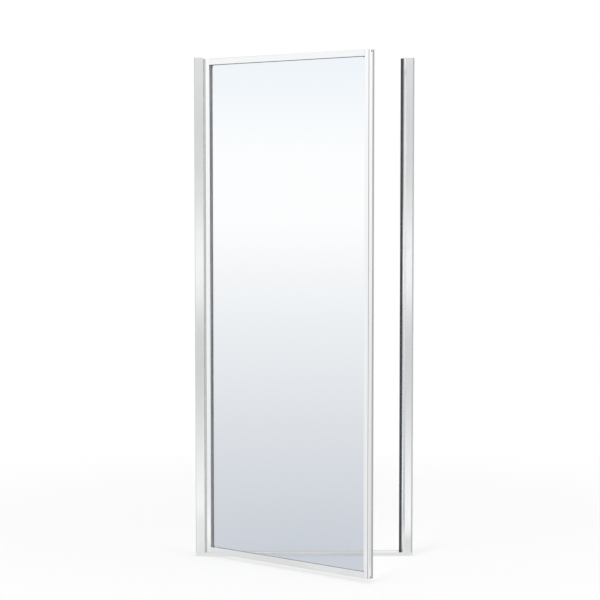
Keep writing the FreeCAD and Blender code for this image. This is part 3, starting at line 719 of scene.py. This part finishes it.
def makeGrooveShade():
    # A soft-edged box around a groove, where the groove's shade is painted.
    inputs = {"Vector": None, "Middle": None, "Reach": None, "Soft": 0.0}
    group, given, result = newGroup("grooveShade", inputs, ["Share"])
    offset = addVector(group, "SUBTRACT", given["Vector"], given["Middle"])
    ratio = addVector(group, "DIVIDE", offset, given["Reach"])
    sides = addNode(group, "ShaderNodeSeparateXYZ", {0: ratio}).outputs
    across = addMath(group, "ABSOLUTE", sides["X"])
    depth = addMath(group, "ABSOLUTE", sides["Y"])
    farthest = addMath(group, "MAXIMUM", across, depth)
    inner = addMath(group, "SUBTRACT", 1.0, given["Soft"])
    put(group, result["Share"], addRange(group, farthest, 1.0, inner, curve="SMOOTHSTEP"))
    return group


def makeSideShare():
    # How far a direction lies towards one side of the studio, from 0 to 1.
    inputs = {"Vector": None, "Toward": None, "Start": 0.0, "Full": 1.0}
    group, given, result = newGroup("sideShare", inputs, ["Share"])
    level = addVector(group, "MULTIPLY", given["Vector"], (1, 1, 0))
    match = addVector(group, "DOT_PRODUCT", addVector(group, "NORMALIZE", level), given["Toward"])
    share = addRange(group, match, given["Start"], given["Full"], curve="SMOOTHSTEP")
    put(group, result["Share"], share)
    return group


dieLines = makeDieLines()
handlingMarks = makeHandlingMarks()
grooveShade = makeGrooveShade()
sideShare = makeSideShare()

aluminiumLook = {
    "light": (0.90, 0.905, 0.91),
    "dark": (0.83, 0.835, 0.845),
    "roughness": 0.10,
    "lineRoughness": 0.05,
    "smudgeRoughness": 0.07,
    "lineDepth": 0.00002,
    "lineStrength": 0.25,
}
# Wall channels: a duller mill finish, and a darker tone that is partly painted shade from the wall beside
# them.
millShadeLook = {
    **aluminiumLook,
    "light": (0.64, 0.645, 0.65),
    "dark": (0.54, 0.545, 0.55),
    "roughness": 0.45,
}
# Hinge leaves: a duller finish, and a darker tone that is partly painted shade in the gap at the hinge.
leafShadeLook = {
    **aluminiumLook,
    "light": (0.66, 0.665, 0.67),
    "dark": (0.56, 0.565, 0.57),
    "roughness": 0.24,
}
railLook = {**aluminiumLook, "light": (0.87, 0.875, 0.88), "dark": (0.79, 0.795, 0.805)}
# Painted shade in the finger groove beside the pull lip, its middle set in from the stile's closing edge.
grooveShadeLook = {
    "inset": 0.004125,
    "halfWidth": 0.0013,
    "depth": 0.0032,
    "soft": 0.3,
    "tone": (0.25, 0.25, 0.255),
}


def addGrooveShade(tree, colour):
    # The place is measured along the closed door, from the pin.
    look = grooveShadeLook
    place = turnedPlace(tree, (0, 0, opening), doorPlace.inverted().translation)
    edge = doorBox("strike_stile")[1].x
    face = doorBox("hinge_stile")[0].y
    halfDepth = look["depth"] / 2
    inside = placeGroup(tree, grooveShade, place, {
        "Middle": (edge - look["inset"], face + halfDepth, 0),
        "Reach": (look["halfWidth"], halfDepth, 1),
        "Soft": look["soft"],
    })
    # The groove darkens to a painted shade tone.
    return addMix(tree, inside["Share"], colour, look["tone"])


def makeAluminium(name, look, turn=(0, 0, 0), grooveShaded=False):
    # The turn brings Z along the section.
    material, tree = newMaterial(name)
    place = turnedPlace(tree, turn)
    lines = placeGroup(tree, dieLines, place)
    marks = placeGroup(tree, handlingMarks, place)
    colour = addMix(tree, lines["Bands"], look["light"], look["dark"])
    if grooveShaded:
        # painted shade in the strike stile's finger groove
        colour = addGrooveShade(tree, colour)
    lineShare = addMath(tree, "MULTIPLY", lines["Lines"], look["lineRoughness"])
    smudgeShare = addMath(tree, "MULTIPLY", marks["Smudge"], look["smudgeRoughness"])
    roughness = addMath(tree, "ADD", addMath(tree, "ADD", lineShare, look["roughness"]), smudgeShare)
    surface = addNode(tree, "ShaderNodeBsdfPrincipled", {
        "Base Color": colour,
        "Metallic": 1.0,
        "Roughness": roughness,
        "Normal": addRelief(tree, lines["Lines"], look["lineStrength"], look["lineDepth"]),
    })
    showLook(tree, surface.outputs[0])
    return material


millShadeAluminium = makeAluminium("millShadeAluminium", millShadeLook)
uprightAluminium = makeAluminium("uprightAluminium", aluminiumLook)
leafShadeAluminium = makeAluminium("leafShadeAluminium", leafShadeLook)
sillAluminium = makeAluminium("sillAluminium", aluminiumLook, (0, -quarter, 0))
railAluminium = makeAluminium("railAluminium", railLook, (0, -quarter, opening))
gripAluminium = makeAluminium("gripAluminium", aluminiumLook, grooveShaded=True)

glassLook = {
    "tint": (0.975, 0.99, 0.992),
    "ior": 1.5,
    "spotTint": (0.95, 0.955, 0.96),
    "spotRoughness": 0.12,
    "shadowTint": (0.95, 0.955, 0.955),
    "marks": {"Amount": 0.35, "Spot Size": 0.009},
}


def makeGlass():
    look = glassLook
    material, tree = newMaterial("clearGlass")
    spots = placeGroup(tree, handlingMarks, objectPlace(tree), look["marks"])["Spots"]
    surface = addNode(tree, "ShaderNodeBsdfPrincipled", {
        "Base Color": addMix(tree, spots, look["tint"], look["spotTint"]),
        "Roughness": addMath(tree, "MULTIPLY", spots, look["spotRoughness"]),
        "IOR": look["ior"],
        "Transmission Weight": 1.0,
    })
    clear = addNode(tree, "ShaderNodeBsdfTransparent", {"Color": look["shadowTint"]})
    shadow = addRays(tree)["Is Shadow Ray"]
    showLook(tree, chooseShader(tree, shadow, surface.outputs[0], clear.outputs[0]))
    return material


clearGlass = makeGlass()

vinylLook = {
    "marks": {"Amount": 0.7},
    "smudgeRoughness": 0.12,
    "grain": 900.0,
    "grainStrength": 0.3,
    "grainDepth": 0.00004,
}
vinylKinds = {
    "gasketVinyl": {"colour": (0.27, 0.27, 0.275), "worn": (0.33, 0.33, 0.335), "roughness": 0.42},
    "blackVinyl": {"colour": (0.045, 0.045, 0.05), "worn": (0.07, 0.07, 0.075), "roughness": 0.38},
    "greyVinyl": {"colour": (0.38, 0.38, 0.39), "worn": (0.45, 0.45, 0.46), "roughness": 0.45},
    "sweepVinyl": {"colour": (0.74, 0.75, 0.76), "worn": (0.80, 0.80, 0.80), "roughness": 0.4},
    "magnetStrip": {
        "colour": (0.09, 0.08, 0.075),
        "worn": (0.13, 0.12, 0.11),
        "roughness": 0.6,
        "grain": 1600.0,
    },
}


def makeVinyl(name, look):
    material, tree = newMaterial(name)
    place = objectPlace(tree)
    smudge = placeGroup(tree, handlingMarks, place, look["marks"])["Smudge"]
    share = addMath(tree, "MULTIPLY", smudge, look["smudgeRoughness"])
    grain = addNoise(tree, place, look["grain"], detail=2.0)
    surface = addNode(tree, "ShaderNodeBsdfPrincipled", {
        "Base Color": addMix(tree, smudge, look["colour"], look["worn"]),
        "Roughness": addMath(tree, "ADD", share, look["roughness"]),
        "Normal": addRelief(tree, grain, look["grainStrength"], look["grainDepth"]),
    })
    showLook(tree, surface.outputs[0])
    return material


vinyl = {name: makeVinyl(name, {**vinylLook, **kind}) for name, kind in vinylKinds.items()}

stainlessLook = {
    "colour": (0.72, 0.72, 0.71),
    "worn": (0.60, 0.60, 0.59),
    "roughness": 0.25,
    "smudgeRoughness": 0.15,
    "marks": {"Amount": 0.8, "Spot Size": 0.003},
    "scratches": {"Stretch": 0.3, "Fineness": 5000.0},
    "scratchStrength": 0.3,
    "scratchDepth": 0.00003,
}


def makeStainless():
    look = stainlessLook
    material, tree = newMaterial("stainlessSteel")
    place = objectPlace(tree)
    smudge = placeGroup(tree, handlingMarks, place, look["marks"])["Smudge"]
    lines = placeGroup(tree, dieLines, place, look["scratches"])["Lines"]
    share = addMath(tree, "MULTIPLY", smudge, look["smudgeRoughness"])
    surface = addNode(tree, "ShaderNodeBsdfPrincipled", {
        "Base Color": addMix(tree, smudge, look["colour"], look["worn"]),
        "Metallic": 1.0,
        "Roughness": addMath(tree, "ADD", share, look["roughness"]),
        "Normal": addRelief(tree, lines, look["scratchStrength"], look["scratchDepth"]),
    })
    showLook(tree, surface.outputs[0])
    return material


stainlessSteel = makeStainless()

finishes = {
    "sill": sillAluminium,
    "hinge_wall_channel": millShadeAluminium,
    "strike_wall_channel": millShadeAluminium,
    "hinge_jamb": uprightAluminium,
    "strike_jamb": uprightAluminium,
    "hinge_jamb_screws": stainlessSteel,
    "strike_jamb_screws": stainlessSteel,
    "strike_magnet_sleeve": vinyl["blackVinyl"],
    "strike_magnet_core": vinyl["magnetStrip"],
    "jamb_leaf": leafShadeAluminium,
    "hinge_pin": stainlessSteel,
    "jamb_leaf_rivets": stainlessSteel,
    "door_leaf": leafShadeAluminium,
    "door_leaf_rivets": stainlessSteel,
    "hinge_stile": uprightAluminium,
    "strike_stile": gripAluminium,
    "top_rail": railAluminium,
    "bottom_rail": railAluminium,
    "corner_screws": stainlessSteel,
    "glass_panel": clearGlass,
    "glazing_gasket": vinyl["gasketVinyl"],
    "door_magnet_sleeve": vinyl["greyVinyl"],
    "door_magnet_core": vinyl["magnetStrip"],
    "drip_rail": railAluminium,
    "drip_sweep": vinyl["sweepVinyl"],
    "drip_rail_screws": stainlessSteel,
}
for node, material in finishes.items():
    for slot in frame["nodes"][node].material_slots:
        slot.material = material
for node, piece in newPieces.items():
    piece.data.materials.clear()
    piece.data.materials.append(finishes[node])
print("materials made")

# The studio: what the camera, metal and glass each find around the door.
studio = {
    # Pale cards that the door's faces reflect: near and far tones on the floor, low and high ones above.
    "cards": (
        {"toward": (-0.951, -0.309, 0), "floor": (0.90, 1.065), "sky": (1.065, 1.12)},
        {"toward": (0.951, 0.309, 0), "floor": (0.78, 1.065), "sky": (1.065, 1.12)},
    ),
    "cardsFrom": (0.1, -0.3, 0),  # under the door's outer half, where those on the floor fan out from
    "cardTop": 0.075,
    "cardEdge": {"Start": 0.9, "Full": 0.97},
    "shadeToward": (-0.7, 0.714, 0),
    "shadeTone": (0.45, 0.45, 0.46),
    "shadeEdge": {"Start": 0.72, "Full": 0.9},
    "floorTones": ((0.07, 0.86), (0.15, 1.065), (0.70, 0.655), (0.77, 1.15)),
    "skyTones": ((0.0, 0.75), (0.03, 0.70), (0.1, 0.88), (0.22, 1.0)),
    # What the pane shows of the floor and sky is painted shade: darker and bluer on the floor near the
    # door, and darker and bluer high up.
    "throughNear": (0.58, 0.61, 0.67),
    "throughFar": (0.995, 0.995, 1.0),
    "throughHigh": (0.87, 0.907, 0.954),
    "throughRise": (0.01, 0.09),
    # Painted shade on the reflections in metal seen through the pane.
    "behindDim": 0.3,
    "behindTone": (0.0, 0.03, 0.08),
    "white": (1.0, 1.0, 1.0),
    "ambient": 0.78,
}
floorLook = {
    "reach": 60.0,
    "drop": 0.0002,
    "colour": (0.93, 0.93, 0.935),
    "fade": (0.6, 2.4),
    "glossFade": (0.02, 0.25),
    "nearGlow": 0.6,  # how much of the shadow the background's white takes away
    "toneHalf": 4.0,
    "throughHalf": 6.0,
}


def addRamp(tree, value, stops):
    ramp = addNode(tree, "ShaderNodeValToRGB", {0: value})
    ramp.color_ramp.interpolation = "EASE"
    elements = ramp.color_ramp.elements
    while len(elements) < len(stops):
        elements.new(1.0)
    for element, (position, tone) in zip(elements, stops):
        element.position = position
        element.color = (tone, tone, tone, 1)
    return ramp.outputs[0]


def addShare(tree, vector, toward, edge):
    return placeGroup(tree, sideShare, vector, {"Toward": toward, **edge})["Share"]


def addCompressed(tree, distance, half):
    return addMath(tree, "DIVIDE", distance, addMath(tree, "ADD", distance, half))


def addCards(tree, bands, direction, height, top, tones):
    for card in studio["cards"]:
        share = addShare(tree, direction, card["toward"], studio["cardEdge"])
        bands = addMix(tree, share, bands, addRange(tree, height, 0.0, top, *card[tones]))
    return bands


def layStudio(tree, look, bands, through, whiteShare=1.0, bandShare=1.0):
    # Each kind of ray finds its own tones over the plain look, which lights the rest.
    rays = addRays(tree)
    seen = addMath(tree, "MULTIPLY", rays["Is Camera Ray"], whiteShare)
    look = chooseShader(tree, seen, look, addGlow(tree, studio["white"]))
    seen = addMath(tree, "MULTIPLY", rays["Is Glossy Ray"], bandShare)
    look = chooseShader(tree, seen, look, addGlow(tree, bands))
    # Metal seen through the pane mirrors darker tones: painted shade, like that on the floor and sky
    # which the pane shows.
    behind = addMath(tree, "MINIMUM", rays["Transmission Depth"], 1.0)
    behind = addMath(tree, "MULTIPLY", behind, rays["Is Glossy Ray"])
    share = addMath(tree, "MULTIPLY", behind, studio["behindDim"])
    look = chooseShader(tree, share, look, addGlow(tree, studio["behindTone"]))
    return chooseShader(tree, rays["Is Transmission Ray"], look, addGlow(tree, through))


def paintFloor():
    look = floorLook
    material, tree = newMaterial("floorPaint")
    place = objectPlace(tree)
    distance = addVector(tree, "LENGTH", place)
    nearness = addCompressed(tree, distance, look["toneHalf"])
    bands = addRamp(tree, nearness, studio["floorTones"])
    fromDoor = addVector(tree, "SUBTRACT", place, studio["cardsFrom"])
    bands = addCards(tree, bands, fromDoor, nearness, 1.0, "floor")
    # The floor seen through the pane: painted shade, darker near the door.
    fullReach = look["reach"] / (look["reach"] + look["throughHalf"])
    farness = addRange(tree, addCompressed(tree, distance, look["throughHalf"]), 0.0, fullReach)
    through = addMix(tree, farness, studio["throughNear"], studio["throughFar"])
    matt = addNode(tree, "ShaderNodeBsdfDiffuse", {"Color": look["colour"]}).outputs[0]
    whiteShare = addRange(tree, distance, *look["fade"], look["nearGlow"], 1.0, "SMOOTHSTEP")
    bandShare = addRange(tree, distance, *look["glossFade"], curve="SMOOTHSTEP")
    showLook(tree, layStudio(tree, matt, bands, through, whiteShare, bandShare))
    return material


def buildFloor():
    reach = floorLook["reach"]
    corners = [(-reach, -reach, 0), (reach, -reach, 0), (reach, reach, 0), (-reach, reach, 0)]
    floor = linked("studioFloor", meshFrom("studioFloor", corners, [(0, 1, 2, 3)]))
    floor.location.z = -floorLook["drop"]
    floor.data.materials.append(paintFloor())


def buildWorld():
    world = bpy.data.worlds.new("studio")
    bpy.context.scene.world = world
    world.use_nodes = True
    tree = world.node_tree
    tree.nodes.clear()
    direction = addNode(tree, "ShaderNodeTexCoord").outputs["Generated"]
    height = addNode(tree, "ShaderNodeSeparateXYZ", {0: direction}).outputs["Z"]
    bands = addRamp(tree, height, studio["skyTones"])
    shade = addShare(tree, direction, studio["shadeToward"], studio["shadeEdge"])
    bands = addMix(tree, shade, bands, studio["shadeTone"])
    bands = addCards(tree, bands, direction, height, studio["cardTop"], "sky")
    # The sky seen through the pane: painted shade, darker and bluer high up.
    rise = addRange(tree, height, *studio["throughRise"], curve="SMOOTHSTEP")
    through = addMix(tree, rise, studio["throughFar"], studio["throughHigh"])
    inputs = {"Color": studio["white"], "Strength": studio["ambient"]}
    ambient = addNode(tree, "ShaderNodeBackground", inputs).outputs[0]
    showLook(tree, layStudio(tree, ambient, bands, through), "World")


buildFloor()
buildWorld()
print("studio built")

lamps = {
    "keyLight": {"place": (-2.2, -3.0, 3.2), "size": 2.4, "power": 60.0},
    "fillLight": {"place": (2.6, -2.0, 2.2), "size": 2.0, "power": 25.0},
}
lampAim = Vector((0, 0, 0.8))
for name, lamp in lamps.items():
    data = bpy.data.lights.new(name, "AREA")
    data.size = lamp["size"]
    data.energy = lamp["power"]
    holder = linked(name, data)
    holder.location = lamp["place"]
    holder.rotation_mode = "QUATERNION"
    holder.rotation_quaternion = (lampAim - holder.location).to_track_quat("-Z", "Y")
    holder.visible_glossy = False  # metal shows the studio, not the lamps

cameraPlace = {
    "place": (-0.0383, -5.2138, 1.2015),
    "pitch": 3.516,
    "yaw": -0.268,
    "focalPixels": 1600.4,
    "imagePixels": 600,
    "sensor": 36.0,
    "shift": -0.02,
    "farEnd": 200.0,
}
cameraData = bpy.data.cameras.new("camera")
cameraData.sensor_width = cameraPlace["sensor"]
cameraData.lens = cameraPlace["sensor"] * cameraPlace["focalPixels"] / cameraPlace["imagePixels"]
cameraData.shift_y = cameraPlace["shift"]
cameraData.clip_end = cameraPlace["farEnd"]
camera = linked("camera", cameraData)
camera.location = cameraPlace["place"]
pitch, yaw = math.radians(cameraPlace["pitch"]), math.radians(cameraPlace["yaw"])
camera.rotation_euler = (quarter - pitch, 0, yaw)
bpy.context.scene.camera = camera
bpy.context.scene.view_settings.view_transform = "Standard"
print("lamps and camera placed")

print("scene complete")
